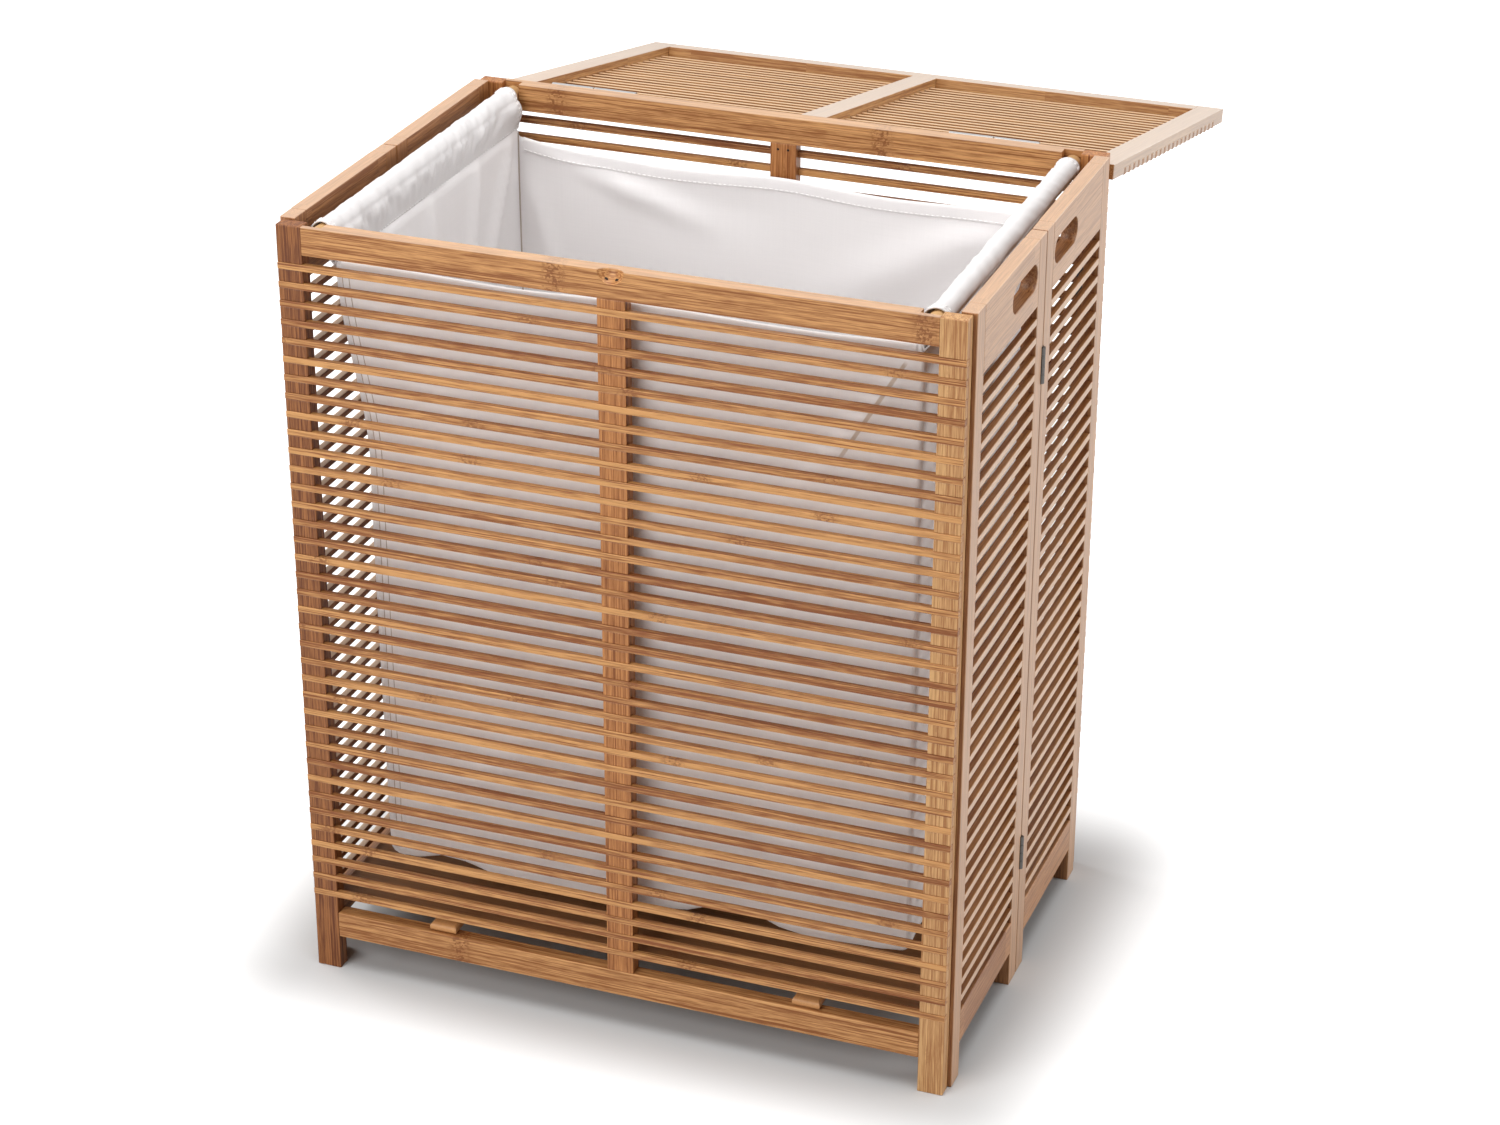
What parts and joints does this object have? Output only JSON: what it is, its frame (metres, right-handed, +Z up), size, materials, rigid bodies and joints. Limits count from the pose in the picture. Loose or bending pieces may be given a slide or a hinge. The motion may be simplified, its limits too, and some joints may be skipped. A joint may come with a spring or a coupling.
{
  "type": "folding laundry hamper with lid",
  "caption": "Tall slatted bamboo laundry hamper with folding two-leaf sides, a hinged slatted lid, hand holes, a lift-out floor and a cotton liner hung on rods.",
  "frame": {"origin": "on the ground, at the middle of the whole object's box with the lid open as in the picture", "axes": "+X to the right seen from the front, +Y from the front panel to the open lid's far edge, +Z up"},
  "size_m": [0.5304, 0.7412, 0.6262],
  "materials": {
    "bamboo_frame": "satin lacquer",
    "bamboo_slats": "satin lacquer",
    "hinge_steel": "plated",
    "liner_cotton": "plain weave",
    "liner_rods": "plain",
    "floor_board": "plain"
  },
  "bodies": {
    "rear_panel": {"lid_hinge_pins": "hinge_steel", "rear_bottom_rail": "bamboo_frame", "rear_centre_stile": "bamboo_frame", "rear_corner_hinge_pins": "hinge_steel", "rear_corner_hinge_plates": "hinge_steel", "rear_left_post": "bamboo_frame", "rear_lid_hinge_plates": "hinge_steel", "rear_right_post": "bamboo_frame", "rear_slats": "bamboo_slats", "rear_top_rail": "bamboo_frame"},
    "lid": {"lid_centre_bar": "bamboo_frame", "lid_front_rail": "bamboo_frame", "lid_hinge_plates": "hinge_steel", "lid_left_stile": "bamboo_frame", "lid_rear_rail": "bamboo_frame", "lid_right_stile": "bamboo_frame", "lid_slats": "bamboo_slats"},
    "front_panel": {"front_bottom_rail": "bamboo_frame", "front_centre_stile": "bamboo_frame", "front_corner_hinge_pins": "hinge_steel", "front_corner_hinge_plates": "hinge_steel", "front_left_post": "bamboo_frame", "front_right_post": "bamboo_frame", "front_slats": "bamboo_slats", "front_top_rail": "bamboo_frame"},
    "front_left_leaf": {"front_left_leaf_bottom_rail": "bamboo_frame", "front_left_leaf_corner_stile": "bamboo_frame", "front_left_leaf_handle_rail": "bamboo_frame", "front_left_leaf_hinge_plates": "hinge_steel", "front_left_leaf_seam_stile": "bamboo_frame", "front_left_leaf_slats": "bamboo_slats"},
    "rear_left_leaf": {"left_seam_hinge_pins": "hinge_steel", "rear_left_leaf_bottom_rail": "bamboo_frame", "rear_left_leaf_corner_stile": "bamboo_frame", "rear_left_leaf_handle_rail": "bamboo_frame", "rear_left_leaf_hinge_plates": "hinge_steel", "rear_left_leaf_seam_stile": "bamboo_frame", "rear_left_leaf_slats": "bamboo_slats"},
    "front_right_leaf": {"front_right_leaf_bottom_rail": "bamboo_frame", "front_right_leaf_corner_stile": "bamboo_frame", "front_right_leaf_handle_rail": "bamboo_frame", "front_right_leaf_hinge_plates": "hinge_steel", "front_right_leaf_seam_stile": "bamboo_frame", "front_right_leaf_slats": "bamboo_slats"},
    "rear_right_leaf": {"rear_right_leaf_bottom_rail": "bamboo_frame", "rear_right_leaf_corner_stile": "bamboo_frame", "rear_right_leaf_handle_rail": "bamboo_frame", "rear_right_leaf_hinge_plates": "hinge_steel", "rear_right_leaf_seam_stile": "bamboo_frame", "rear_right_leaf_slats": "bamboo_slats", "right_seam_hinge_pins": "hinge_steel"},
    "floor": {"floor_battens": "bamboo_frame", "floor_board": "floor_board"},
    "liner": {"left_liner_rod": "liner_rods", "liner_bag": "liner_cotton", "right_liner_rod": "liner_rods"}
  },
  "joints": [
    {"name": "lid_hinge", "type": "hinge", "parent": "rear_panel", "child": "lid", "pos_m": [0, -0.0007, 0.6206], "axis": [1, 0, 0], "range_deg": [0, 191]},
    {"name": "liner_lift", "type": "slide", "parent": "rear_panel", "child": "liner", "axis": [0, 0, 1], "range_m": [0, 0.6]},
    {"name": "floor_tilt", "type": "hinge", "parent": "rear_panel", "child": "floor", "pos_m": [0, -0.3648, 0.0548], "axis": [1, 0, 0], "range_deg": [0, 4.5]},
    {"name": "left_side_fold", "type": "hinge", "parent": "rear_panel", "child": "rear_left_leaf", "pos_m": [-0.2486, -0.0195, 0.3], "axis": [0, 0, 1], "range_deg": [0, 1]},
    {"name": "left_seam_fold", "type": "hinge", "parent": "rear_left_leaf", "child": "front_left_leaf", "pos_m": [-0.2633, -0.1876, 0.3], "axis": [0, 0, -1], "range_deg": [0, 2]},
    {"name": "front_panel_fold", "type": "hinge", "parent": "front_left_leaf", "child": "front_panel", "pos_m": [-0.2486, -0.3557, 0.3], "axis": [0, 0, 1], "range_deg": [0, 1]},
    {"name": "right_side_fold", "type": "hinge", "parent": "rear_panel", "child": "rear_right_leaf", "pos_m": [0.2486, -0.0195, 0.3], "axis": [0, 0, -1], "range_deg": [0, 1]},
    {"name": "right_seam_fold", "type": "hinge", "parent": "rear_right_leaf", "child": "front_right_leaf", "pos_m": [0.2633, -0.1876, 0.3], "axis": [0, 0, 1], "range_deg": [0, 2]}
  ],
  "couplings": [
    {"joint": "left_seam_fold", "follows": "left_side_fold", "ratio": 2},
    {"joint": "front_panel_fold", "follows": "left_side_fold", "ratio": 1},
    {"joint": "right_side_fold", "follows": "left_side_fold", "ratio": 1},
    {"joint": "right_seam_fold", "follows": "left_side_fold", "ratio": 2}
  ]
}
